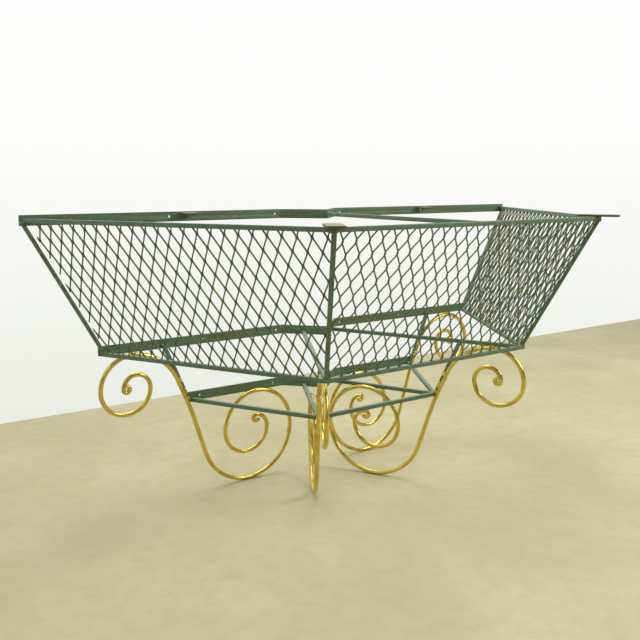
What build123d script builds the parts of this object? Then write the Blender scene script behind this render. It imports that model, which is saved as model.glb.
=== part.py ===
"""Wall jardiniere: a half-hexagon basket of square bar and expanded metal, open at the back,
on four S-scrolls.  All of it is welded mild steel, so nothing moves.

Frame: X along the wall, -Y towards the room, +Z up.  The origin is on the floor, in the middle
of the overall box, and the wall stands at y = wall_y.  Every level of the frame is half of a
regular hexagon whose centre is on the wall, so a corner is found by its radius and its angle.
"""

import math
import os

from build123d import *

# Driving dimensions, mm: the three levels of the frame
rim_side = 800.0            # one side of the rim, which is half of the overall length
basket_side = 630.0         # one side of the basket's bottom
plinth_side = 395.0         # one side of the small frame between the scrolls
basket_height = 354.0       # underside of the basket's bottom frame to the top of the rim
plinth_drop = 154.0         # underside of the basket's bottom frame down to that of the plinth
notch = 92.0                # half-width and depth of the notch for a downpipe, cut at 45 degrees

# Stock
flat_height = 25.0          # back bars, wide face against the wall
flat_thickness = 5.0
bar = 10.0                  # square bar of the rails, posts, struts and cross bars
rod_radius = 6.0            # round bar of the scrolls
rail_drop = 8.0             # rim rails lie this far below the top of the back bars

# Screw holes in the back bars, measured along the wall
screw_radius = 3.25
inner_screw_inset = 20.0    # first hole, beyond the bend of the notch
plinth_screw_inset = 32.0
outer_screw_inset = 55.0    # last hole of the basket bar, from its end
plinth_end_inset = 39.0

# Lugs on the rim
lug_thickness = 5.0
lug_width = 38.0
lug_length = 100.0          # corner lugs
lug_overhang = 42.0         # of a corner lug, past the corner
lug_corner_radius = 8.0
back_lug_reach = 40.0
back_lug_centres = (-383.0, 424.0)

# Corner posts
post_setback = bar * 0.75   # a front post's centre, inside the corner
end_post_foot = 11.0        # an end post's centre, inside the end of the basket's back bar
end_post_head = bar / 2     # and inside the end of the rim's

# Expanded metal
mesh_short = 33.0           # pitch of the diamonds along the rails
mesh_long = 65.5            # pitch up the slope
strand_width = 3.5
mesh_thickness = 2.5
mesh_gap = 1.5              # between the cut strands and a post
# First crossing of the strands of each sheet: along the rail from its middle, below the rim rail
first_crossings = {"left": (18.0, 12.0), "front": (-8.5, 21.0), "right": (0.5, 27.5)}

# Scrolls and the struts that carry them
strut_lean = 67.0           # degrees above the floor
stem_contact = 67.0         # length of the stem that lies along the strut
upper_volute = ((130.0, 67.0), (88.0, 90.0), (66.0, 180.0), (36.0, 180.0), (12.0, 200.0))
stem_ease = (500.0, 6.0)    # the stem straightens a little below the strut
stem_length = 114.5
lower_volute = ((140.0, 173.0), (106.0, 170.0), (67.0, 180.0), (35.0, 90.0), (12.0, 250.0))
bead_radius = rod_radius + 1.0
strut_lap = 12.0            # an end strut laps this far up the basket's back bar

leg_angles = {"left": 180.0, "front_left": 240.0, "front_right": 300.0, "right": 0.0}
cos30 = math.cos(math.radians(30))
tan60 = math.tan(math.radians(60))
lug_tip = (rim_side + lug_overhang - lug_corner_radius) * cos30
lug_side = (lug_width / 2 - lug_corner_radius) / 2 + lug_corner_radius
wall_y = (lug_tip + lug_side) / 2           # half of the overall depth


def direction(angle):
    """Unit vector in plan, pointing away from the hexagon's centre."""
    return Vector(math.cos(math.radians(angle)), math.sin(math.radians(angle)))


def plan_point(radius, angle):
    """A point in plan, given from the hexagon's centre on the wall."""
    return Vector(0, wall_y) + direction(angle) * radius


def leg_plane(angle, set_out):
    """Upright plane of one scroll: local x points away from the centre and local y is up."""
    outward = direction(angle)
    return Plane(
        origin=(0, wall_y - set_out, 0),
        x_dir=(outward.X, outward.Y, 0),
        z_dir=(outward.Y, -outward.X, 0),
    )


def write(piece, label):
    """Give a finished piece its label, keep it and write it to its own STEP file."""
    piece.part.label = label
    pieces[label] = piece.part
    export_step(piece.part, f"parts/{label}.step")


def cope(*kinds):
    """Cut the part in hand back from the finished pieces whose names start in these ways."""
    neighbours = [piece for label, piece in pieces.items() if label.startswith(kinds)]
    add(neighbours, mode=Mode.SUBTRACT)


def draw_scroll_line():
    """Centre line of an S-scroll from the top of its contact with the strut, in local x and y."""
    up = direction(strut_lean)
    point, heading = Vector(0, 0), up
    for radius, turn in upper_volute:
        arc = JernArc(point, heading, radius, -turn)
        point, heading = arc @ 1, arc % 1
    contact = Line((0, 0), up * -stem_contact)
    ease = JernArc(contact @ 1, up * -1, stem_ease[0], stem_ease[1])
    stem = Line(ease @ 1, ease @ 1 + (ease % 1) * stem_length)
    point, heading = stem @ 1, stem % 1
    for radius, turn in lower_volute:
        arc = JernArc(point, heading, radius, -turn)
        point, heading = arc @ 1, arc % 1


os.makedirs("parts", exist_ok=True)
pieces = {}

# Heights follow from the scroll: it stands on the floor and the basket rests on its top.
with BuildLine() as scroll_shape:
    draw_scroll_line()
scroll_box = scroll_shape.line.bounding_box()
stem_z = rod_radius - scroll_box.min.Y
basket_z = scroll_box.size.Y + 2 * rod_radius
plinth_z = basket_z - plinth_drop
rim_z = basket_z + basket_height
rim_rail_z = rim_z - rail_drop - bar

# Radius of a strut's centre and of a scroll's stem, both along the leg
strut_run = 1 / math.tan(math.radians(strut_lean))
strut_foot = plinth_side - bar / 2 / math.sin(math.radians(strut_lean))
stem_offset = (bar / 2 + rod_radius) / math.sin(math.radians(strut_lean))
stem_radius = strut_foot + (stem_z - plinth_z) * strut_run + stem_offset
bar_front = flat_thickness + bar / 2        # set-out of a square bar standing before a back bar
rod_front = flat_thickness + rod_radius     # and of a scroll lying before it


def strut_radius(height):
    """Radius of a strut's centre at a height above the floor."""
    return strut_foot + (height - plinth_z) * strut_run


def back_bar_outline(side, sign):
    """Plan of one back bar: along the wall, then in at 45 degrees to the middle of the notch."""
    bend = flat_thickness * math.tan(math.radians(22.5))
    corners = [
        (side, 0),
        (notch, 0),
        (0, -notch),
        (0, -notch - flat_thickness * math.sqrt(2)),
        (notch + bend, -flat_thickness),
        (side, -flat_thickness),
    ]
    return [(sign * x, wall_y + y) for x, y in corners]


def ring_corner(radius, index):
    """Corner of a rail line: the ends stop at the front face of the back bars."""
    if index in (0, 3):
        sign = -1 if index == 0 else 1
        return Vector(sign * (radius - flat_thickness / tan60), wall_y - flat_thickness)
    return plan_point(radius, 180 + 60 * index)


def rail_outline(side, index):
    """Plan of one rail, mitred at the corners: index 0 is the left side, 1 the front, 2 the right."""
    inner = side - bar / cos30
    return [
        ring_corner(side, index),
        ring_corner(side, index + 1),
        ring_corner(inner, index + 1),
        ring_corner(inner, index),
    ]


def inside_outline(side):
    """Plan of the clear space inside a level, which a cross bar fills from edge to edge."""
    inner = side - bar / cos30
    bend = flat_thickness * math.tan(math.radians(22.5))
    rails = [ring_corner(inner, index) for index in range(4)]
    return rails + [
        Vector(notch + bend, wall_y - flat_thickness),
        Vector(0, wall_y - notch - flat_thickness * math.sqrt(2)),
        Vector(-notch - bend, wall_y - flat_thickness),
    ]


# Back bars of the three levels
levels = {
    "rim": (rim_side, rim_z - flat_height),
    "basket": (basket_side, basket_z),
    "plinth": (plinth_side, plinth_z),
}
basket_outer_screw = basket_side - outer_screw_inset
inner_screw = notch + inner_screw_inset
screws = {
    "rim": (inner_screw, (inner_screw + rim_side - outer_screw_inset) / 2),
    "basket": (inner_screw, (inner_screw + basket_outer_screw) / 2, basket_outer_screw),
    "plinth": (notch + plinth_screw_inset, plinth_side - plinth_end_inset),
}
for level, (side, z) in levels.items():
    for hand, sign in (("left", -1), ("right", 1)):
        with BuildPart() as back_bar:
            with BuildSketch(Plane.XY.offset(z)):
                with BuildLine():
                    Polyline(*back_bar_outline(side, sign), close=True)
                make_face()
            extrude(amount=flat_height)
            with BuildSketch(Plane.XZ.offset(-wall_y)):
                with Locations(*[(sign * x, z + flat_height / 2) for x in screws[level]]):
                    Circle(screw_radius)
            extrude(amount=flat_thickness, mode=Mode.SUBTRACT)
        write(back_bar, f"{level}_back_bar_{hand}")

# Struts: the two at the ends stand before the back bars and lap the basket's
for leg, angle in leg_angles.items():
    at_wall = leg in ("left", "right")
    top = basket_z + strut_lap if at_wall else basket_z
    half = bar / 2 / math.sin(math.radians(strut_lean))
    with BuildPart() as strut:
        with BuildSketch(leg_plane(angle, bar_front if at_wall else 0)):
            with BuildLine():
                Polyline(
                    (strut_foot - half, plinth_z),
                    (strut_foot + half, plinth_z),
                    (strut_radius(top) + half, top),
                    (strut_radius(top) - half, top),
                    close=True,
                )
            make_face()
        extrude(amount=bar / 2, both=True)
    write(strut, f"strut_{leg}")

# Scrolls: the two at the ends lie before the back bars
for leg, angle in leg_angles.items():
    at_wall = leg in ("left", "right")
    plane = leg_plane(angle, rod_front if at_wall else 0)
    stem_top = plane.from_local_coords(Vector(stem_radius, stem_z))
    path = scroll_shape.wire().moved(Plane(stem_top, plane.x_dir, plane.z_dir).location)
    with BuildPart() as scroll:
        with BuildSketch(Plane(origin=path @ 0, z_dir=path % 0)):
            Circle(rod_radius)
        sweep(path=path)
    write(scroll, f"scroll_{leg}")

# Rails
rail_levels = {
    "rim": (rim_side, rim_rail_z),
    "basket": (basket_side, basket_z),
    "plinth": (plinth_side, plinth_z),
}
for level, (side, z) in rail_levels.items():
    for index, hand in enumerate(("left", "front", "right")):
        with BuildPart() as rail:
            with BuildSketch(Plane.XY.offset(z)):
                with BuildLine():
                    Polyline(*rail_outline(side, index), close=True)
                make_face()
            extrude(amount=bar)
            if level == "plinth":
                cope("strut")
        write(rail, f"{level}_rail_{hand}")

# Cross bars: one from the notch to the front of the rim, two under the basket, two in the plinth
rim_middle = Vector(0, wall_y - rim_side * cos30)
cross_bars = {"rim_cross_bar": (rim_side, rim_rail_z, Vector(0, wall_y - notch / 2), rim_middle)}
for level in ("basket", "plinth"):
    for hand, sign, angle in (("left", -1, 240), ("right", 1, 300)):
        side, z = rail_levels[level]
        start = Vector(sign * notch / 2, wall_y - notch / 2)
        cross_bars[f"{level}_cross_bar_{hand}"] = (side, z, start, plan_point(side, angle))
for name, (side, z, start, end) in cross_bars.items():
    span = end - start
    turn = math.degrees(math.atan2(span.Y, span.X))
    with BuildPart() as cross_bar:
        with BuildSketch(Plane.XY.offset(z)):
            with Locations(Location((start + end) / 2, turn)):
                Rectangle(span.length * 2, bar)
            with BuildLine():
                Polyline(*inside_outline(side), close=True)
            make_face(mode=Mode.INTERSECT)
        extrude(amount=bar)
        if name.startswith("plinth"):
            cope("strut", "scroll")
    write(cross_bar, name)

# Corner posts: the front two face the corner, the end two stand before the back bars
post_bottom = basket_z + bar
post_ends = ((basket_side, end_post_foot, post_bottom), (rim_side, end_post_head, rim_rail_z))
for leg, angle in leg_angles.items():
    with BuildPart() as post:
        for side, end_setback, z in post_ends:
            with BuildSketch(Plane.XY.offset(z)):
                if leg in ("left", "right"):
                    centre = plan_point(side - end_setback, angle) - Vector(0, bar_front)
                    with Locations(centre):
                        Rectangle(bar, bar)
                else:
                    with Locations(Location(plan_point(side - post_setback, angle), angle)):
                        Rectangle(bar, bar)
        loft()
    write(post, f"corner_post_{leg}")

# Expanded metal: a sheet of diamonds in the middle of the rails, cut level at both of them
mesh_rise = rim_rail_z - post_bottom
mesh_run = (rim_side - basket_side) * cos30
slope = math.hypot(mesh_rise, mesh_run)
diamond_edge = math.hypot(mesh_short, mesh_long) / 2
hole_width = mesh_short - strand_width * diamond_edge / (mesh_long / 2)
hole_length = mesh_long - strand_width * diamond_edge / (mesh_short / 2)
corner_margin = (post_setback + bar * cos30) / 2 + bar / 4 + mesh_gap
end_margin = (end_post_foot + bar / 2) / 2 + (bar_front + bar / 2) * cos30 + mesh_gap
rows = range(-1, math.ceil(slope / mesh_long) * 2 + 1)
half_columns = math.ceil(rim_side / mesh_short / 2) + 1


def diamond_corners(x, y):
    """The four corners of one opening in the sheet."""
    return [
        (x + hole_width / 2, y),
        (x, y + hole_length / 2),
        (x - hole_width / 2, y),
        (x, y - hole_length / 2),
    ]


for index, hand in enumerate(("left", "front", "right")):
    outward = direction(210 + 60 * index)
    foot = Vector(0, wall_y) + outward * (basket_side * cos30 - bar / 2)
    along = Vector(-outward.Y, outward.X)
    rise = Vector(outward.X * mesh_run, outward.Y * mesh_run, mesh_rise)
    plane = Plane((foot.X, foot.Y, post_bottom), along, along.cross(rise))
    near = basket_side / 2 - (end_margin if index == 0 else corner_margin)
    far = basket_side / 2 - (end_margin if index == 2 else corner_margin)
    flare = (rim_side - basket_side) / 2 / slope
    crossing_x, crossing_drop = first_crossings[hand]
    whole, cut = [], []
    for row in rows:
        for column in range(-half_columns, half_columns + 1):
            x = crossing_x + mesh_short * (column + (row + 1) % 2 / 2)
            y = slope - crossing_drop - mesh_long / 2 * row
            corners = diamond_corners(x, y)
            inside = [0 < v < slope and -near < u + flare * v and u - flare * v < far for u, v in corners]
            if all(inside):
                whole.append(Wire.make_polygon(corners))
            elif any(inside) or 0 < y < slope:
                cut.append(Face(Wire.make_polygon(corners)))
    with BuildSketch() as sheet:
        with BuildLine():
            Polyline(
                (-near, 0),
                (far, 0),
                (far + flare * slope, slope),
                (-near - flare * slope, slope),
                close=True,
            )
        make_face()
        add(cut, mode=Mode.SUBTRACT)
    with BuildPart() as mesh:
        with BuildSketch(plane):
            add(Face(sheet.faces().sort_by(SortBy.AREA)[-1].outer_wire(), whole))
        extrude(amount=mesh_thickness / 2 * slope / mesh_rise, dir=outward, both=True)
    write(mesh, f"mesh_{hand}")

# Lugs: two lie on the rim's front corners, two stand out from the back bars
lug_z = rim_z - rail_drop
for leg in ("front_left", "front_right"):
    centre = plan_point(rim_side + lug_overhang - lug_length / 2, leg_angles[leg])
    with BuildPart() as lug:
        with BuildSketch(Plane.XY.offset(lug_z)):
            with Locations(Location(centre, leg_angles[leg])):
                RectangleRounded(lug_length, lug_width, lug_corner_radius)
        extrude(amount=lug_thickness)
    write(lug, f"rim_lug_{leg}")
for hand, x in zip(("left", "right"), back_lug_centres):
    centre = Vector(x, wall_y - flat_thickness - back_lug_reach / 2)
    with BuildPart() as lug:
        with BuildSketch(Plane.XY.offset(lug_z)):
            with Locations(centre):
                outline = Rectangle(lug_width, back_lug_reach)
            fillet(outline.vertices().group_by(Axis.Y)[0], lug_corner_radius)
        extrude(amount=lug_thickness)
    write(lug, f"back_lug_{hand}")

# Braze: beads where each scroll's stem lies along its strut, and one on top of its upper volute
bead_heights = (stem_z, stem_z - stem_contact * math.sin(math.radians(strut_lean)) * 0.8)
volute_top = scroll_shape.line.edges().sort_by(Axis.Y)[-1] @ 0
with BuildPart() as beads:
    for leg, angle in leg_angles.items():
        plane = leg_plane(angle, rod_front if leg in ("left", "right") else 0)
        spots = [Vector(strut_radius(z) + stem_offset / 2, z) for z in bead_heights]
        spots.append(Vector(stem_radius + volute_top.X, basket_z))
        with Locations(*[plane.from_local_coords(spot) for spot in spots]):
            Sphere(bead_radius)
write(beads, "braze_beads")
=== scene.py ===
"""Looks of the wall jardiniere: weathered green bars, twisted expanded metal and gilt scrolls.

Everything is in metres in the frame of the CAD model: X along the wall, -Y towards the room and
Z up.  Every level of the frame is half of a regular hexagon whose centre is on the wall.
"""

import logging
import math
import random
from dataclasses import dataclass
from enum import Enum

import bpy
from mathutils import Matrix, Vector


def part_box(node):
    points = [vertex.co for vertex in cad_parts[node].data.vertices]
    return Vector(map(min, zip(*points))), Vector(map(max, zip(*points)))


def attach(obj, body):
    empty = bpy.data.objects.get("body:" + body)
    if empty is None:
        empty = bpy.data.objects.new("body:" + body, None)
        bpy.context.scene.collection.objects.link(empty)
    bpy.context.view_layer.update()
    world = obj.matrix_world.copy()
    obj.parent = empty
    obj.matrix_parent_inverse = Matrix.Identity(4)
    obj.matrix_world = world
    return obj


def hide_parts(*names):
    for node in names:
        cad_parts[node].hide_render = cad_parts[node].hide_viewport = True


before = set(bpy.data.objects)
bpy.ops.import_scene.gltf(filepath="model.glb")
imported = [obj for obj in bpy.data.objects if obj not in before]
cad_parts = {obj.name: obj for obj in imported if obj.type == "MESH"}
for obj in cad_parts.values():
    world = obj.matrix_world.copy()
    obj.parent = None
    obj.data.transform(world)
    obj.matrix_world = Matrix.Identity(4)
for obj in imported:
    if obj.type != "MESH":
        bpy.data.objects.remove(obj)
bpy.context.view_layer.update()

LOG = logging.getLogger("jardiniere")
MM = 0.001
COS30 = math.cos(math.radians(30))
SAME_POINT = 0.01 * MM  # vertices closer than this are one
STRAIGHT = math.radians(2)  # edges that turn less than this are dissolved
CORNER = math.radians(40)  # edges that turn more than this are rounded


class Slot(Enum):
    """Material slots of the record."""

    GREEN = "green_paint"
    MESH = "mesh_paint"
    GOLD = "gold_paint"
    STEEL = "bare_steel"


class Leg(Enum):
    """The four corners of the half-hexagon, each with its direction in degrees."""

    LEFT = ("left", 180.0)
    FRONT_LEFT = ("front_left", 240.0)
    FRONT_RIGHT = ("front_right", 300.0)
    RIGHT = ("right", 0.0)

    @property
    def label(self) -> str:
        """The leg's part of a node's name."""
        return self.value[0]

    @property
    def outward(self) -> Vector:
        """Unit vector in plan, away from the hexagon's centre."""
        angle = math.radians(self.value[1])
        return Vector((math.cos(angle), math.sin(angle), 0))

    @property
    def at_wall(self) -> bool:
        """Whether the leg stands before the back bars."""
        return self in (Leg.LEFT, Leg.RIGHT)


@dataclass(frozen=True)
class Layout:
    """Levels and sides of the frame, read from the CAD nodes.

    Attributes:
        wall: y of the wall's face.
        rim: length of one side of the rim.
        basket: length of one side of the basket's bottom.
        plinth: length of one side of the small frame between the scrolls.
        rim_rail: height of the underside of the rim's rails.
        basket_z: height of the underside of the basket's bottom frame.
        plinth_z: height of the underside of the plinth.
        bar: side of the square bar.
        flat: thickness of the back bars.
    """

    wall: float
    rim: float
    basket: float
    plinth: float
    rim_rail: float
    basket_z: float
    plinth_z: float
    bar: float = 10 * MM
    flat: float = 5 * MM

    @classmethod
    def measured(cls) -> "Layout":
        """Reads the layout from the boxes of the CAD nodes."""
        rim, basket, plinth = (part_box(f"{level}_rail_front") for level in ("rim", "basket", "plinth"))
        return cls(
            wall=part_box("rim_back_bar_left")[1].y,
            rim=rim[1].x * 2,
            basket=basket[1].x * 2,
            plinth=plinth[1].x * 2,
            rim_rail=rim[0].z,
            basket_z=basket[0].z,
            plinth_z=plinth[0].z,
        )

    def at(self, radius: float, leg: Leg, height: float) -> Vector:
        """A point on a leg's radius from the hexagon's centre."""
        return Vector((0, self.wall, height)) + leg.outward * radius


# ---------------------------------------------------------------- helpers


def linear(colour: str) -> tuple[float, float, float, float]:
    """Turns an sRGB hex colour such as "#C89B2E" into a linear RGBA colour.

    Args:
        colour: the sRGB colour.

    Returns:
        The linear colour with an alpha of 1.
    """
    channels = [int(colour[at : at + 2], 16) / 255 for at in (1, 3, 5)]
    return (*[c / 12.92 if c <= 0.04045 else ((c + 0.055) / 1.055) ** 2.4 for c in channels], 1.0)


def select_only(*pieces: bpy.types.Object) -> None:
    """Leaves only these pieces selected, the first of them active.

    Args:
        pieces: the objects to select.
    """
    bpy.ops.object.select_all(action="DESELECT")
    for piece in pieces:
        piece.select_set(True)
    bpy.context.view_layer.objects.active = pieces[0]


def edit(piece: bpy.types.Object) -> None:
    """Opens a piece in edit mode, set to select vertices, with nothing selected.

    Args:
        piece: the object to edit.
    """
    select_only(piece)
    bpy.ops.object.mode_set(mode="EDIT")
    bpy.ops.mesh.select_mode(type="VERT")
    bpy.ops.mesh.select_all(action="DESELECT")


def close_edit() -> None:
    """Goes back to object mode."""
    bpy.ops.object.mode_set(mode="OBJECT")


def place(piece: bpy.types.Object, matrix: Matrix) -> None:
    """Puts a piece's place into its mesh and leaves its object at the origin.

    Args:
        piece: the object to place.
        matrix: where it goes.
    """
    select_only(piece)
    piece.matrix_world = matrix
    bpy.ops.object.transform_apply(location=True, rotation=True, scale=True)


def copy_of(piece: bpy.types.Object) -> bpy.types.Object:
    """Copies a piece with a mesh of its own.

    Args:
        piece: the object to copy.

    Returns:
        The copy, linked to the scene.
    """
    twin = piece.copy()
    twin.data = piece.data.copy()
    bpy.context.scene.collection.objects.link(twin)
    return twin


def join(pieces: list[bpy.types.Object], name: str) -> bpy.types.Object:
    """Joins several pieces into one.

    Args:
        pieces: the objects to join.
        name: the name of the whole.

    Returns:
        The joined object.
    """
    select_only(*pieces)
    bpy.ops.object.join()
    whole = pieces[0]
    whole.name = whole.data.name = name
    return whole


def smooth(piece: bpy.types.Object, degrees: float) -> None:
    """Shades a piece smooth, with edges sharper than an angle left crisp.

    Args:
        piece: the object to shade.
        degrees: the angle.
    """
    select_only(piece)
    bpy.ops.object.shade_smooth_by_angle(angle=math.radians(degrees))


def softened(node: str, name: str, edge: float) -> bpy.types.Object:
    """Copies a CAD node and rounds its sharp edges.

    Args:
        node: the CAD node's name.
        name: the copy's name.
        edge: radius of the rounded edges.

    Returns:
        The copy.
    """
    piece = copy_of(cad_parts[node])
    piece.parent = None
    for key in list(piece.keys()):
        del piece[key]
    piece.name = piece.data.name = name
    edit(piece)
    bpy.ops.mesh.select_all(action="SELECT")
    bpy.ops.mesh.remove_doubles(threshold=SAME_POINT)
    bpy.ops.mesh.dissolve_limited(angle_limit=STRAIGHT)
    close_edit()
    bevel = piece.modifiers.new("rounded_edges", "BEVEL")
    bevel.width = edge
    bevel.segments = 2
    bevel.limit_method = "ANGLE"
    bevel.angle_limit = CORNER
    select_only(piece)
    bpy.ops.object.modifier_apply(modifier=bevel.name)
    smooth(piece, degrees=35)
    return piece


def drop(
    spot: Vector, radius: float, draw: random.Random, spread: float = 0.2, lumps: float = 0.18
) -> bpy.types.Object:
    """Makes one uneven drop of molten metal.

    Args:
        spot: its middle.
        radius: its usual radius.
        draw: source of its unevenness.
        spread: how far its radius may differ, as a part of it.
        lumps: how uneven its surface is, as a part of the radius.

    Returns:
        The drop.
    """
    bpy.ops.object.select_all(action="DESELECT")
    size = radius * draw.uniform(1 - spread, 1 + spread)
    bpy.ops.mesh.primitive_ico_sphere_add(subdivisions=2, radius=size, location=spot)
    made = bpy.context.object
    bpy.ops.object.transform_apply(location=True)
    edit(made)
    bpy.ops.mesh.select_all(action="SELECT")
    bpy.ops.transform.vertex_random(offset=radius * lumps, seed=draw.randrange(1000))
    close_edit()
    return made


def melted(drops: list[bpy.types.Object], name: str, grain: float) -> bpy.types.Object:
    """Runs drops together into beads, as molten metal does.

    Args:
        drops: the drops.
        name: the name of the whole.
        grain: the finest detail that stays.

    Returns:
        The beads.
    """
    beads = join(drops, name)
    fused = beads.modifiers.new("fused", "REMESH")
    fused.mode = "VOXEL"
    fused.voxel_size = grain
    tension = beads.modifiers.new("surface_tension", "SMOOTH")
    tension.iterations = 2
    select_only(beads)
    for modifier in [m.name for m in beads.modifiers]:
        bpy.ops.object.modifier_apply(modifier=modifier)
    smooth(beads, degrees=60)
    return beads


def hand_in(piece: bpy.types.Object, slot: Slot, finish: bpy.types.Material, *nodes: str) -> None:
    """Gives a finished piece its finish and body.

    Args:
        piece: the finished object.
        slot: not used.
        finish: its material.
        nodes: the CAD nodes that it stands for.
    """
    piece.data.materials.clear()
    piece.data.materials.append(finish)
    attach(piece, "root")
    if nodes:
        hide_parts(*nodes)
    LOG.info("%s: %d faces", piece.name, len(piece.data.polygons))


# ---------------------------------------------------------------- finishes


def add_node(
    tree: bpy.types.NodeTree,
    kind: str,
    values: dict | None = None,
    links: dict | None = None,
    **settings: str,
) -> bpy.types.Node:
    """Adds a node with its settings, values and links.

    Args:
        tree: the material's node tree.
        kind: the node's type.
        values: values of its input sockets, by name or number.
        links: the output sockets that feed its inputs, by name or number.
        settings: the node's own properties.

    Returns:
        The new node.
    """
    made = tree.nodes.new(kind)
    for name, value in settings.items():
        setattr(made, name, value)
    for name, value in (values or {}).items():
        made.inputs[name].default_value = value
    for name, socket in (links or {}).items():
        tree.links.new(socket, made.inputs[name])
    return made


def blotches(
    tree: bpy.types.NodeTree, size: float, low: float, high: float, detail: float = 4.0
) -> bpy.types.NodeSocket:
    """Irregular patches on Object coordinates.

    Args:
        tree: the material's node tree.
        size: how far apart the patches are, in millimetres.
        low: the noise value that becomes 0.
        high: the noise value that becomes 1.
        detail: how ragged the patches are.

    Returns:
        A socket from 0 to 1.
    """
    coords = add_node(tree, "ShaderNodeTexCoord")
    grain = add_node(
        tree,
        "ShaderNodeTexNoise",
        {"Scale": 1 / (size * MM), "Detail": detail},
        {"Vector": coords.outputs["Object"]},
    )
    spread = add_node(
        tree, "ShaderNodeMapRange", {"From Min": low, "From Max": high}, {"Value": grain.outputs[0]}
    )
    return spread.outputs["Result"]


def facing_up(tree: bpy.types.NodeTree, low: float, high: float) -> bpy.types.NodeSocket:
    """How far the surface faces up, where dust settles and a painted highlight lightens the paint.

    Args:
        tree: the material's node tree.
        low: the upward part of the normal that becomes 0.
        high: the upward part of the normal that becomes 1.

    Returns:
        A socket from 0 to 1.
    """
    geometry = add_node(tree, "ShaderNodeNewGeometry")
    parts = add_node(tree, "ShaderNodeSeparateXYZ", links={"Vector": geometry.outputs["Normal"]})
    spread = add_node(
        tree, "ShaderNodeMapRange", {"From Min": low, "From Max": high}, {"Value": parts.outputs["Z"]}
    )
    return spread.outputs["Result"]


def mixed(
    tree: bpy.types.NodeTree,
    factor: bpy.types.NodeSocket,
    base: str | bpy.types.NodeSocket,
    over: str | bpy.types.NodeSocket,
    amount: float = 1.0,
) -> bpy.types.NodeSocket:
    """Lays one colour over another by a factor.

    Args:
        tree: the material's node tree.
        factor: where the upper colour shows.
        base: the lower colour, a hex string or a socket.
        over: the upper colour, a hex string or a socket.
        amount: how much of the upper colour shows where the factor is 1.

    Returns:
        The mixed colour's socket.
    """
    part = add_node(tree, "ShaderNodeMath", {1: amount}, {0: factor}, operation="MULTIPLY")
    values, links = {}, {0: part.outputs[0]}
    for at, colour in ((6, base), (7, over)):
        if isinstance(colour, str):
            values[at] = linear(colour)
        else:
            links[at] = colour
    return add_node(tree, "ShaderNodeMix", values, links, data_type="RGBA").outputs[2]


def ranged(
    tree: bpy.types.NodeTree, factor: bpy.types.NodeSocket, low: float, high: float
) -> bpy.types.NodeSocket:
    """Turns a factor from 0 to 1 into a value from low to high."""
    return add_node(tree, "ShaderNodeMapRange", {"To Min": low, "To Max": high}, {"Value": factor}).outputs[0]


@dataclass(frozen=True)
class Finish:
    """A finish, drawn by one material.

    Attributes:
        name: what the finish is.
        metallic: how metallic it is.
        bump: depth of its grain, in millimetres.
        grain: size of its grain, in millimetres.
    """

    name: str = "finish"
    metallic: float = 0.0
    bump: float = 0.1
    grain: float = 2.0

    def colour(self, tree: bpy.types.NodeTree) -> bpy.types.NodeSocket:
        """The finish's base colour."""
        raise NotImplementedError

    def roughness(self, tree: bpy.types.NodeTree) -> bpy.types.NodeSocket:
        """The finish's roughness."""
        raise NotImplementedError

    def material(self) -> bpy.types.Material:
        """Builds the material.

        Returns:
            The new material.
        """
        made = bpy.data.materials.new(self.name)
        made.use_nodes = True
        tree = made.node_tree
        tree.nodes.clear()
        height = blotches(tree, self.grain, 0.3, 0.7)
        relief = add_node(
            tree, "ShaderNodeBump", {"Strength": 1.0, "Distance": self.bump * MM}, {"Height": height}
        )
        shader = add_node(
            tree,
            "ShaderNodeBsdfPrincipled",
            {"Metallic": self.metallic},
            {
                "Base Color": self.colour(tree),
                "Roughness": self.roughness(tree),
                "Normal": relief.outputs["Normal"],
            },
        )
        add_node(tree, "ShaderNodeOutputMaterial", links={"Surface": shader.outputs[0]})
        return made


@dataclass(frozen=True)
class WeatheredEnamel(Finish):
    """Old green enamel brushed on hot-rolled bar.

    The eye sees a dark bluish green gone olive in patches, lightened to a chalky grey where it
    faces up by dust and a painted highlight, with pale flecks and a few rust spots where it has chipped.

    Attributes:
        green: the enamel.
        olive: its dirty patches.
        dust_and_highlight: the grey of dust and a painted highlight on its tops.
        teal: its flecks.
        rust: chips down to the steel.
    """

    name: str = "weathered_green_enamel"
    bump: float = 0.12
    grain: float = 2.5
    green: str = "#54765A"
    olive: str = "#636644"
    # grey-green of dust and a painted highlight, laid on faces that point up
    dust_and_highlight: str = "#949B86"
    teal: str = "#82A58C"
    rust: str = "#5F4529"

    def colour(self, tree: bpy.types.NodeTree) -> bpy.types.NodeSocket:
        """Green with olive patches, dust and a painted highlight on the tops, flecks and rust."""
        body = mixed(tree, blotches(tree, 130, 0.42, 0.6), self.green, self.olive, 0.65)
        # dust plus a painted highlight: the enamel lightens to grey-green where it faces up
        dusted_and_highlighted = mixed(tree, facing_up(tree, 0.4, 0.95), body, self.dust_and_highlight, 0.5)
        flecked = mixed(tree, blotches(tree, 7, 0.58, 0.72, 2), dusted_and_highlighted, self.teal, 0.4)
        return mixed(tree, blotches(tree, 17, 0.66, 0.74), flecked, self.rust, 0.8)

    def roughness(self, tree: bpy.types.NodeTree) -> bpy.types.NodeSocket:
        """Semi-gloss, dull in the worn patches."""
        return ranged(tree, blotches(tree, 12, 0.35, 0.65), 0.38, 0.6)


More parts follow.
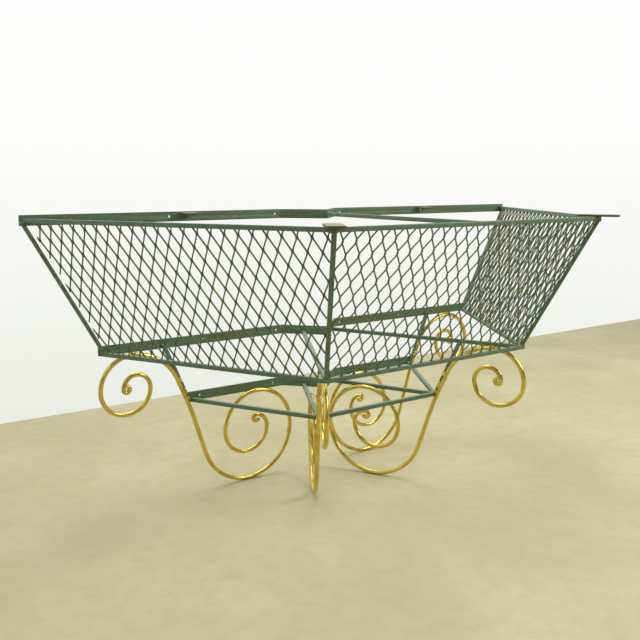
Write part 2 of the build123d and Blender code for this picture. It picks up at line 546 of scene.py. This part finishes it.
@dataclass(frozen=True)
class MeshEnamel(Finish):
    """The same enamel on expanded metal, where brown primer and rust show through more.

    The eye sees strands that are green and brown by turns, with pale scuffs.

    Attributes:
        green: the enamel.
        brown: the primer and rust under it.
        pale: its scuffs.
    """

    name: str = "worn_enamel_on_expanded_metal"
    bump: float = 0.08
    grain: float = 2.0
    green: str = "#4E684A"
    brown: str = "#706F3F"
    pale: str = "#969C70"

    def colour(self, tree: bpy.types.NodeTree) -> bpy.types.NodeSocket:
        """Dark green and brown in turn, with pale scuffs."""
        body = mixed(tree, blotches(tree, 70, 0.4, 0.6), self.green, self.brown, 0.85)
        return mixed(tree, blotches(tree, 9, 0.6, 0.75, 2), body, self.pale, 0.5)

    def roughness(self, tree: bpy.types.NodeTree) -> bpy.types.NodeSocket:
        """Semi-gloss to dull."""
        return ranged(tree, blotches(tree, 20, 0.35, 0.65), 0.4, 0.62)


@dataclass(frozen=True)
class GiltPaint(Finish):
    """Bronze-powder gilt paint on round bar.

    The eye sees bright brass with a soft long highlight, darker and browner where brush marks
    and grime dull it.

    Attributes:
        gold: the fresh paint.
        deep: its thicker brush marks.
        grime: dirt in specks.
    """

    name: str = "gilt_paint_on_round_bar"
    metallic: float = 0.92
    bump: float = 0.012
    grain: float = 10.0
    gold: str = "#DEC866"
    deep: str = "#B59C40"
    grime: str = "#5E5124"

    def colour(self, tree: bpy.types.NodeTree) -> bpy.types.NodeSocket:
        """Gold with deeper brush marks and specks of grime."""
        body = mixed(tree, blotches(tree, 45, 0.42, 0.68), self.gold, self.deep, 0.7)
        return mixed(tree, blotches(tree, 14, 0.62, 0.8, 3), body, self.grime, 0.25)

    def roughness(self, tree: bpy.types.NodeTree) -> bpy.types.NodeSocket:
        """Satin, uneven from the brush."""
        return ranged(tree, blotches(tree, 20, 0.35, 0.65), 0.18, 0.28)


@dataclass(frozen=True)
class BareSteel(Finish):
    """Flat steel whose paint has worn away.

    The eye sees a pale tan top, rubbed by what stood on it, with rust-brown edges and undersides
    that keep some green.

    Attributes:
        tan: the rubbed top.
        rust: its spots and the sides.
        green: what is left of the enamel.
    """

    name: str = "rubbed_bare_steel"
    metallic: float = 0.25
    bump: float = 0.15
    grain: float = 3.0
    tan: str = "#958C70"
    rust: str = "#64482C"
    green: str = "#4C5F46"

    def colour(self, tree: bpy.types.NodeTree) -> bpy.types.NodeSocket:
        """Rust and green on the sides, tan with rust spots on top."""
        sides = mixed(tree, blotches(tree, 25, 0.4, 0.6), self.rust, self.green, 0.8)
        top = mixed(tree, blotches(tree, 10, 0.56, 0.7), self.tan, self.rust, 0.6)
        return mixed(tree, facing_up(tree, 0.9, 0.98), sides, top)

    def roughness(self, tree: bpy.types.NodeTree) -> bpy.types.NodeSocket:
        """Dull, a little smoother where it is rubbed."""
        return ranged(tree, blotches(tree, 12, 0.35, 0.65), 0.45, 0.7)


@dataclass(frozen=True)
class ConcreteFloor(Finish):
    """Plain screed of cement and sand, floated flat.

    The eye sees an even pale beige with faint darker clouds.

    Attributes:
        pale: the screed.
        cloud: its damper clouds.
    """

    name: str = "pale_screed"
    bump: float = 0.3
    grain: float = 12.0
    pale: str = "#C6BE97"
    cloud: str = "#B0A77D"

    def colour(self, tree: bpy.types.NodeTree) -> bpy.types.NodeSocket:
        """Beige with soft clouds and a finer mottle."""
        clouds = mixed(tree, blotches(tree, 420, 0.35, 0.65), self.pale, self.cloud, 0.6)
        return mixed(tree, blotches(tree, 45, 0.45, 0.7), clouds, self.cloud, 0.4)

    def roughness(self, tree: bpy.types.NodeTree) -> bpy.types.NodeSocket:
        """Matt."""
        return ranged(tree, blotches(tree, 150, 0.3, 0.7), 0.7, 0.85)


# ---------------------------------------------------------------- sub-assemblies


@dataclass
class BarFrame:
    """Back bars, rails, cross bars, struts and posts: rolled stock with slightly rounded edges.

    Attributes:
        finish: the enamel.
        layout: the frame's levels.
        edge: radius of the rolled edges.
        bead: radius of a drop of weld.
        bead_spots: drops along each side of a post, as parts of its width.
        grain: finest detail of the weld.
        seed: start of the drops' unevenness.
        post_setback: from a front corner to its post's middle.
        end_setbacks: from an end to its post's middle, at the foot and at the head.
    """

    finish: bpy.types.Material
    layout: Layout
    edge: float = 0.7 * MM
    bead: float = 2.4 * MM
    bead_spots: tuple[float, ...] = (-0.3, 0.0, 0.3)
    grain: float = 0.8 * MM
    seed: int = 5
    post_setback: float = 7.5 * MM
    end_setbacks: tuple[float, float] = (11 * MM, 5 * MM)

    def post_ends(self, leg: Leg) -> list[Vector]:
        """Finds the middle of the foot and of the head of a leg's post.

        Args:
            leg: the leg.

        Returns:
            The two places.
        """
        heights = (self.layout.basket_z + self.layout.bar, self.layout.rim_rail)
        places = []
        for level, radius in enumerate((self.layout.basket, self.layout.rim)):
            setback = self.end_setbacks[level] if leg.at_wall else self.post_setback
            middle = self.layout.at(radius - setback, leg, heights[level])
            if leg.at_wall:
                middle.y -= self.layout.flat + self.layout.bar / 2
            places.append(middle)
        return places

    def welds(self) -> bpy.types.Object:
        """Runs weld round both ends of every post.

        Returns:
            The weld beads.
        """
        draw = random.Random(self.seed)
        drops = []
        for leg in Leg:
            outward = leg.outward
            across = Vector((-outward.y, outward.x, 0))
            for middle in self.post_ends(leg):
                for side in (outward, -outward, across, -across):
                    along = across if side.dot(across) == 0 else outward
                    for shift in self.bead_spots:
                        spot = middle + (side / 2 + along * shift) * self.layout.bar
                        drops.append(drop(spot, self.bead, draw))
        return melted(drops, "post_welds", self.grain)

    def build(self) -> None:
        """Makes every bar of the frame."""
        stock = ("back_bar", "_rail_", "cross_bar", "corner_post", "strut_")
        for node in sorted(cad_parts):
            if any(word in node for word in stock):
                bar = softened(node, f"{node}_bar", self.edge)
                hand_in(bar, Slot.GREEN, self.finish, node)
        hand_in(self.welds(), Slot.GREEN, self.finish)


@dataclass
class Lugs:
    """Two rounded lugs on the rim's front corners and two small ones on the back bars.

    Attributes:
        finish: the rubbed steel.
        edge: radius of the worn edges.
    """

    finish: bpy.types.Material
    edge: float = 1.1 * MM

    def build(self) -> None:
        """Makes the four lugs."""
        for node in ("rim_lug_front_left", "rim_lug_front_right", "back_lug_left", "back_lug_right"):
            hand_in(softened(node, f"{node}_plate", self.edge), Slot.STEEL, self.finish, node)


@dataclass
class ExpandedMetal:
    """The three panels of raised expanded metal between the posts.

    The sheet is slit and pulled open, so every strand is a narrow ribbon turned about the long
    way of the diamonds, and neighbours stay joined side by side at the bonds.

    Attributes:
        layout: the frame's levels.
        finish: the worn enamel.
        short: pitch of the diamonds along the rails.
        long: pitch up the slope.
        faces: the directions that the left, front and right panels face, in degrees.
        first_bonds: the first bond of each panel, along the rail from its middle and below the
            rim's rail.
        width: width of a strand before the sheet is pulled open.
        gauge: thickness of the sheet.
        turn: how far the strands are turned out of the sheet's plane, in degrees.
        corner_margin: from a front corner's line to the cut strands.
        end_margin: from an end's line to the cut strands.
        overlap: strands are this much wider than their pitch across, so that bonds close.
        worn: how far the strands' edges are rounded.
        bends: the strand from one bond to the next: how far up, and how far across by then.
    """

    layout: Layout
    finish: bpy.types.Material
    short: float = 33 * MM
    long: float = 65.5 * MM
    faces: tuple[float, float, float] = (210.0, 270.0, 330.0)
    first_bonds: tuple[tuple[float, float], ...] = (
        (18.0 * MM, 12.0 * MM),
        (-8.5 * MM, 21.0 * MM),
        (0.5 * MM, 27.5 * MM),
    )
    width: float = 3.0 * MM
    gauge: float = 3.4 * MM
    turn: float = -62.0
    corner_margin: float = 9.5 * MM
    end_margin: float = 27 * MM
    overlap: float = 1.02
    worn: float = 0.45 * MM
    bends: tuple[tuple[float, float], ...] = (
        (0.1, 0.015),
        (0.17, 0.08),
        (0.83, 0.92),
        (0.9, 0.985),
        (1.0, 1.0),
    )

    @property
    def rise(self) -> float:
        """Height between the rails."""
        return self.layout.rim_rail - self.layout.basket_z - self.layout.bar

    @property
    def run(self) -> float:
        """How far a panel leans out."""
        return (self.layout.rim - self.layout.basket) * COS30

    @property
    def slope(self) -> float:
        """Length of a panel up its slope."""
        return math.hypot(self.rise, self.run)

    def ribbon(self, first_row: int, below: float) -> bpy.types.Object:
        """Makes one ribbon of the sheet, up the slope and past both rails.

        Args:
            first_row: 0 if its topmost bond is on its left, 1 if on its right.
            below: how far that bond is below the rim's rail.

        Returns:
            The ribbon, cut level at both rails, its bonds half a strand either side of x = 0.
        """
        turn = math.radians(self.turn)
        rows = math.ceil(self.slope / self.long) * 2 + 2
        start = self.slope - below - (rows - 1) * self.long / 2
        side = (self.short / 2 - self.width * math.cos(turn)) / 2
        lift = self.width * math.sin(turn) / 2
        bpy.ops.mesh.primitive_plane_add(size=1, rotation=(math.pi / 2, turn, 0))
        ribbon = bpy.context.object
        ribbon.scale = (self.width * self.overlap, self.gauge, 1)
        sign = -1 if (rows - 1 + first_row) % 2 else 1
        ribbon.location = (-side * sign, start, lift * sign)
        bpy.ops.object.transform_apply(location=True, rotation=True, scale=True)
        edit(ribbon)
        bpy.ops.mesh.select_all(action="SELECT")
        bpy.ops.mesh.bevel(offset=self.worn, affect="VERTICES", segments=1)
        bpy.ops.mesh.select_all(action="SELECT")
        for _ in range(rows):
            before = (0.0, 0.0)
            for up, across in self.bends:
                step = (
                    2 * side * sign * (across - before[1]),
                    self.long / 2 * (up - before[0]),
                    -2 * lift * sign * (across - before[1]),
                )
                bpy.ops.mesh.extrude_region_move(TRANSFORM_OT_translate={"value": step})
                before = (up, across)
            sign = -sign
        for height, normal in ((0.0, -1), (self.slope, 1)):
            bpy.ops.mesh.select_all(action="SELECT")
            bpy.ops.mesh.bisect(
                plane_co=(0, height, 0), plane_no=(0, normal, 0), use_fill=True, clear_outer=True
            )
        bpy.ops.mesh.select_all(action="SELECT")
        bpy.ops.mesh.normals_make_consistent(inside=False)
        close_edit()
        return ribbon

    def trim(self, ribbon: bpy.types.Object, edge: float, hand: int, flare: float) -> bool:
        """Cuts a ribbon along the slanted end of a panel.

        Args:
            ribbon: the ribbon, in the sheet.
            edge: where the end starts, at the basket's rail.
            hand: -1 for the left end, 1 for the right end.
            flare: how much the panel widens at this end for each length up the slope.

        Returns:
            Whether anything is left of the ribbon.
        """
        beyond = [hand * v.co.x - edge - flare * v.co.y for v in ribbon.data.vertices]
        if max(beyond) < 0:
            return True
        if min(beyond) > 0:
            return False
        edit(ribbon)
        bpy.ops.mesh.select_all(action="SELECT")
        bpy.ops.mesh.bisect(
            plane_co=(hand * edge, 0, 0), plane_no=(hand, -flare, 0), use_fill=True, clear_outer=True
        )
        close_edit()
        return len(ribbon.data.polygons) > 0

    def panel(self, index: int, hand: str) -> bpy.types.Object:
        """Lays the ribbons of one panel side by side and cuts them between the posts.

        Args:
            index: 0 for the left side, 1 for the front, 2 for the right.
            hand: the side's part of a node's name.

        Returns:
            The finished panel.
        """
        flare = (self.layout.rim - self.layout.basket) / 2 / self.slope
        near = self.layout.basket / 2 - (self.end_margin if index == 0 else self.corner_margin)
        far = self.layout.basket / 2 - (self.end_margin if index == 2 else self.corner_margin)
        count = math.ceil(self.layout.rim / self.short) + 1
        middle, below = self.first_bonds[index]
        strips = [self.ribbon(0, below), self.ribbon(1, below)]
        kept = []
        for column in range(-count, count):
            strip = copy_of(strips[column % 2])
            across = middle + (column + 0.5) * self.short / 2
            place(strip, Matrix.Translation((across, 0, 0)))
            if self.trim(strip, near, -1, flare) and self.trim(strip, far, 1, flare):
                kept.append(strip)
            else:
                bpy.data.objects.remove(strip)
        for strip in strips:
            bpy.data.objects.remove(strip)
        sheet = join(kept, f"expanded_metal_{hand}")
        angle = math.radians(self.faces[index])
        outward = Vector((math.cos(angle), math.sin(angle), 0))
        along = Vector((-outward.y, outward.x, 0))
        upward = (outward * self.run + Vector((0, 0, self.rise))).normalized()
        foot = outward * (self.layout.basket * COS30 - self.layout.bar / 2)
        foot += Vector((0, self.layout.wall, self.layout.basket_z + self.layout.bar))
        turned = Matrix((along, upward, along.cross(upward))).transposed().to_4x4()
        place(sheet, Matrix.Translation(foot) @ turned)
        smooth(sheet, degrees=50)
        return sheet

    def build(self) -> None:
        """Makes the three panels."""
        for index, hand in enumerate(("left", "front", "right")):
            hand_in(self.panel(index, hand), Slot.MESH, self.finish, f"mesh_{hand}")


@dataclass(frozen=True)
class Bend:
    """One run of the scroll's bar: an arc, or a straight where the turn is 0.

    Attributes:
        size: radius of the arc, or length of the straight, in millimetres.
        turn: how far it turns to the left, in degrees.
    """

    size: float
    turn: float = 0.0


@dataclass
class Scrolls:
    """The four S-scrolls of gilt round bar, with their braze.

    Attributes:
        layout: the frame's levels.
        finish: the gilt paint.
        radius: radius of the bar.
        sides: sides of the bar's section.
        step: degrees of bend between two rings of the mesh.
        bar_line: the bar's centre line from the tip of the upper volute to that of the lower one.
        lean: the strut's angle above the floor.
        stem_top: which run starts where the stem meets the strut.
        bead: radius of a drop of braze.
        braze_places: drops along the stem, in millimetres from there.
        braze_out: how far they lie to each side of it, in millimetres.
        sunk: how far they lie from its middle, as a part of the bar's radius.
        wander: how far they stray, in millimetres.
        top_places: drops along the top of the upper volute, in millimetres from its highest point.
        top_out: how far they lie to each side of it, in millimetres.
        top_share: their size, as a part of that of a drop on the stem.
        grain: finest detail of the braze.
        seed: start of the drops' unevenness.
        rounding: how far the ends of the bar are rounded.
    """

    layout: Layout
    finish: bpy.types.Material
    radius: float = 6 * MM
    sides: int = 16
    step: float = 6.0
    lean: float = 67.0
    bar_line: tuple[Bend, ...] = (
        Bend(8, 258),
        Bend(36, 180),
        Bend(66, 180),
        Bend(88, 90),
        Bend(130, 67),
        Bend(67),
        Bend(500, 6),
        Bend(114.5),
        Bend(140, -173),
        Bend(106, -170),
        Bend(67, -180),
        Bend(35, -90),
        Bend(9, -252),
    )
    stem_top: int = 5
    bead: float = 3.4 * MM
    braze_places: tuple[float, ...] = (1, 6, 10, 34, 39, 44, 49, 60, 64)
    braze_out: float = 5
    sunk: float = 0.9
    wander: float = 0.8
    top_places: tuple[float, ...] = (-5, 0, 5)
    top_out: float = 3.5
    top_share: float = 0.9
    grain: float = 0.9 * MM
    seed: int = 11
    rounding: float = 1.2 * MM

    def walk(self) -> list[tuple[Vector, float, Bend]]:
        """Follows the centre line in the scroll's own plane, from its upper tip.

        Returns:
            The start and heading of each run, with the run, the top of the stem at the origin.
        """
        heading = self.lean + 180 - sum(run.turn for run in self.bar_line[: self.stem_top])
        point, runs, origin = Vector((0, 0)), [], Vector((0, 0))
        for index, run in enumerate(self.bar_line):
            if index == self.stem_top:
                origin = point.copy()
            runs.append((point.copy(), heading, run))
            angle = math.radians(heading)
            if run.turn:
                side = math.copysign(run.size * MM, run.turn)
                centre = point + Vector((-math.sin(angle), math.cos(angle))) * side
                heading += run.turn
                after = math.radians(heading)
                point = centre - Vector((-math.sin(after), math.cos(after))) * side
            else:
                point = point + Vector((math.cos(angle), math.sin(angle))) * run.size * MM
        return [(start - origin, heading, run) for start, heading, run in runs]

    def scroll(self) -> bpy.types.Object:
        """Bends one bar in the XZ plane, with the top of its stem at the origin.

        Returns:
            The scroll.
        """
        runs = self.walk()
        start, heading, _ = runs[0]
        bpy.ops.mesh.primitive_circle_add(
            vertices=self.sides,
            radius=self.radius,
            fill_type="NGON",
            location=(start.x, 0, start.y),
            rotation=(0, math.radians(90 - heading), 0),
        )
        scroll = bpy.context.object
        bpy.ops.object.transform_apply(location=True, rotation=True, scale=True)
        edit(scroll)
        bpy.ops.mesh.select_all(action="SELECT")
        for point, heading, run in runs:
            angle = math.radians(heading)
            if run.turn:
                side = math.copysign(run.size * MM, run.turn)
                bpy.ops.mesh.spin(
                    steps=max(2, round(abs(run.turn) / self.step)),
                    angle=math.radians(run.turn),
                    center=(point.x - math.sin(angle) * side, 0, point.y + math.cos(angle) * side),
                    axis=(0, 1, 0),
                )
            else:
                step = Vector((math.cos(angle), 0, math.sin(angle))) * run.size * MM
                bpy.ops.mesh.extrude_region_move(TRANSFORM_OT_translate={"value": step})
        bpy.ops.mesh.select_all(action="SELECT")
        bpy.ops.mesh.remove_doubles(threshold=SAME_POINT)
        bpy.ops.mesh.normals_make_consistent(inside=False)
        bpy.ops.mesh.select_mode(type="FACE")
        bpy.ops.mesh.select_all(action="DESELECT")
        close_edit()
        for face in scroll.data.polygons:
            face.select = len(face.vertices) == self.sides
        bpy.ops.object.mode_set(mode="EDIT")
        bpy.ops.mesh.bevel(offset=self.rounding, segments=2, affect="EDGES")
        close_edit()
        smooth(scroll, degrees=50)
        return scroll

    def leg_matrix(self, leg: Leg) -> Matrix:
        """Where a scroll's own plane goes on a leg.

        Args:
            leg: the leg.

        Returns:
            A matrix that turns X outwards and puts the top of the stem in its place.
        """
        slope = math.radians(self.lean)
        lowest = min(p.y for p in self.samples())
        stem_z = self.radius - lowest
        foot = self.layout.plinth - self.layout.bar / 2 / math.sin(slope)
        offset = (self.layout.bar / 2 + self.radius) / math.sin(slope)
        reach = foot + (stem_z - self.layout.plinth_z) / math.tan(slope) + offset
        spot = self.layout.at(reach, leg, stem_z)
        if leg.at_wall:
            spot.y -= self.layout.flat + self.radius
        outward = leg.outward
        across = Vector((0, 0, 1)).cross(outward)
        return Matrix.Translation(spot) @ Matrix((outward, across, (0, 0, 1))).transposed().to_4x4()

    def braze(self) -> bpy.types.Object:
        """Runs braze down both sides of every stem, and where each volute meets the basket.

        Returns:
            The braze.
        """
        draw = random.Random(self.seed)
        slope = math.radians(self.lean)
        down = Vector((-math.cos(slope), 0, -math.sin(slope)))
        to_strut = Vector((-math.sin(slope), 0, math.cos(slope)))
        top = max(self.samples(), key=lambda point: point.y)
        drops = []
        for leg in Leg:
            matrix = self.leg_matrix(leg)
            for side in (-1, 1):
                across = Vector((0, side, 0))
                for place_down in self.braze_places:
                    wander = across * draw.uniform(-self.wander, self.wander) * MM
                    spot = down * place_down * MM + to_strut * self.radius * self.sunk
                    spot = spot + across * self.braze_out * MM + wander
                    drops.append(drop(matrix @ spot, self.bead, draw))
                for shift in self.top_places:
                    spot = Vector((top.x + shift * MM, 0, top.y + self.radius))
                    spot = spot + across * self.top_out * MM
                    drops.append(drop(matrix @ spot, self.bead * self.top_share, draw))
        return melted(drops, "run_braze", self.grain)

    def samples(self) -> list[Vector]:
        """Follows the centre line in steps of a degree.

        Returns:
            The points, in the scroll's own plane.
        """
        points = []
        for start, heading, run in self.walk():
            side = math.copysign(run.size * MM, run.turn)
            first = math.radians(heading)
            centre = start + Vector((-math.sin(first), math.cos(first))) * side
            for part in range(int(abs(run.turn)) + 1):
                angle = math.radians(heading + math.copysign(part, run.turn))
                points.append(centre - Vector((-math.sin(angle), math.cos(angle))) * side)
        return points

    def build(self) -> None:
        """Makes the four scrolls and their braze."""
        hand_in(self.braze(), Slot.GOLD, self.finish, "braze_beads")
        pattern = self.scroll()
        for leg in Leg:
            bar = copy_of(pattern)
            bar.name = bar.data.name = f"scroll_bar_{leg.label}"
            place(bar, self.leg_matrix(leg))
            hand_in(bar, Slot.GOLD, self.finish, f"scroll_{leg.label}")
        bpy.data.objects.remove(pattern)


@dataclass(frozen=True)
class Lamp:
    """A soft square lamp that points at the basket.

    Attributes:
        name: its name.
        spot: where it hangs.
        size: length of its side.
        power: watts.
        colour: its sRGB colour.
    """

    name: str
    spot: tuple[float, float, float]
    size: float
    power: float
    colour: str


@dataclass
class Studio:
    """Floor, lights, surroundings and camera.

    Attributes:
        floor_size: length and depth of the floor.
        floor_end: y of the floor's far edge.
        aim: what the lamps point at.
        lamps: the lamps.
        room: colour of the room behind the camera.
        wall_foot: colour of the surroundings low down in front of the camera.
        wall_head: their colour higher up.
        ahead_band: how far ahead the room behind ends and the wall begins, from -1 to 1.
        wall_band: how high up the wall's foot ends and its head begins, from -1 to 1.
        lens: focal length in millimetres.
        shift: how far the picture is shifted up, as a part of its width.
        stand: where the camera stands.
        tilt: the camera's turn about X, in degrees.
        pan: its turn about Z.
    """

    floor_size: tuple[float, float] = (14.0, 8.0)
    floor_end: float = 1.3
    aim: tuple[float, float, float] = (0, 0, 0.4)
    lamps: tuple[Lamp, ...] = (
        Lamp("key", (2.4, -2.6, 2.4), 1.4, 80, "#FFFDF6"),
        Lamp("fill", (-2.8, -2.4, 2.6), 2.2, 14, "#F6FAFF"),
        Lamp("top", (0.2, 0.8, 3.0), 2.0, 36, "#FFFFFF"),
    )
    room: str = "#7C7E79"
    wall_foot: str = "#E9ECE3"
    wall_head: str = "#FEFEFD"
    ahead_band: tuple[float, float] = (-0.5, 0.15)
    wall_band: tuple[float, float] = (-0.3, 0.06)
    lens: float = 44.18
    shift: float = -0.0076
    stand: tuple[float, float, float] = (-1.2585, -1.5255, 0.8423)
    tilt: float = 80.3
    pan: float = -34.5

    def light(self, lamp: Lamp) -> None:
        """Hangs one lamp.

        Args:
            lamp: the lamp.
        """
        data = bpy.data.lights.new(lamp.name, "AREA")
        data.shape, data.size, data.energy = "SQUARE", lamp.size, lamp.power
        data.color = linear(lamp.colour)[:3]
        hung = bpy.data.objects.new(lamp.name, data)
        hung.location = lamp.spot
        hung.rotation_euler = (Vector(self.aim) - Vector(lamp.spot)).to_track_quat("-Z", "Y").to_euler()
        bpy.context.scene.collection.objects.link(hung)

    def floor(self) -> None:
        """Lays the floor."""
        bpy.ops.object.select_all(action="DESELECT")
        length, depth = self.floor_size
        bpy.ops.mesh.primitive_plane_add(size=1, location=(0, self.floor_end - depth / 2, 0))
        floor = bpy.context.object
        floor.name = "floor"
        floor.scale = (length, depth, 1)
        bpy.ops.object.transform_apply(location=True, rotation=True, scale=True)
        floor.data.materials.append(ConcreteFloor().material())

    def surroundings(self) -> None:
        """Makes the white wall ahead and the dimmer room behind."""
        world = bpy.data.worlds.new("white_room")
        bpy.context.scene.world = world
        world.use_nodes = True
        tree = world.node_tree
        tree.nodes.clear()
        coords = add_node(tree, "ShaderNodeTexCoord")
        parts = add_node(tree, "ShaderNodeSeparateXYZ", links={"Vector": coords.outputs["Generated"]})
        factors = []
        for axis, (low, high) in (("Y", self.ahead_band), ("Z", self.wall_band)):
            limits = {"From Min": low, "From Max": high}
            spread = add_node(tree, "ShaderNodeMapRange", limits, {"Value": parts.outputs[axis]})
            factors.append(spread.outputs[0])
        ahead, height = factors
        wall = mixed(tree, height, self.wall_foot, self.wall_head)
        colour = mixed(tree, ahead, self.room, wall)
        sky = add_node(tree, "ShaderNodeBackground", {"Strength": 1.0}, {"Color": colour})
        add_node(tree, "ShaderNodeOutputWorld", links={"Surface": sky.outputs[0]})

    def camera(self) -> None:
        """Sets up the camera."""
        camera = bpy.data.objects.new("camera", bpy.data.cameras.new("camera"))
        camera.data.lens = self.lens
        camera.data.shift_y = self.shift
        camera.location = self.stand
        camera.rotation_euler = (math.radians(self.tilt), 0, math.radians(self.pan))
        bpy.context.scene.collection.objects.link(camera)
        bpy.context.scene.camera = camera
        bpy.context.scene.view_settings.view_transform = "Standard"

    def build(self) -> None:
        """Makes the floor, the lights, the surroundings and the camera."""
        self.floor()
        for lamp in self.lamps:
            self.light(lamp)
        self.surroundings()
        self.camera()


def main() -> None:
    """Builds every sub-assembly."""
    logging.basicConfig(level=logging.INFO, format="%(name)s: %(message)s")
    layout = Layout.measured()
    enamel = WeatheredEnamel().material()
    gilt = GiltPaint().material()
    steel = BareSteel().material()
    Studio().build()
    BarFrame(enamel, layout).build()
    Lugs(steel).build()
    ExpandedMetal(layout, MeshEnamel().material()).build()
    Scrolls(layout, gilt).build()


if __name__ == "__main__":
    main()
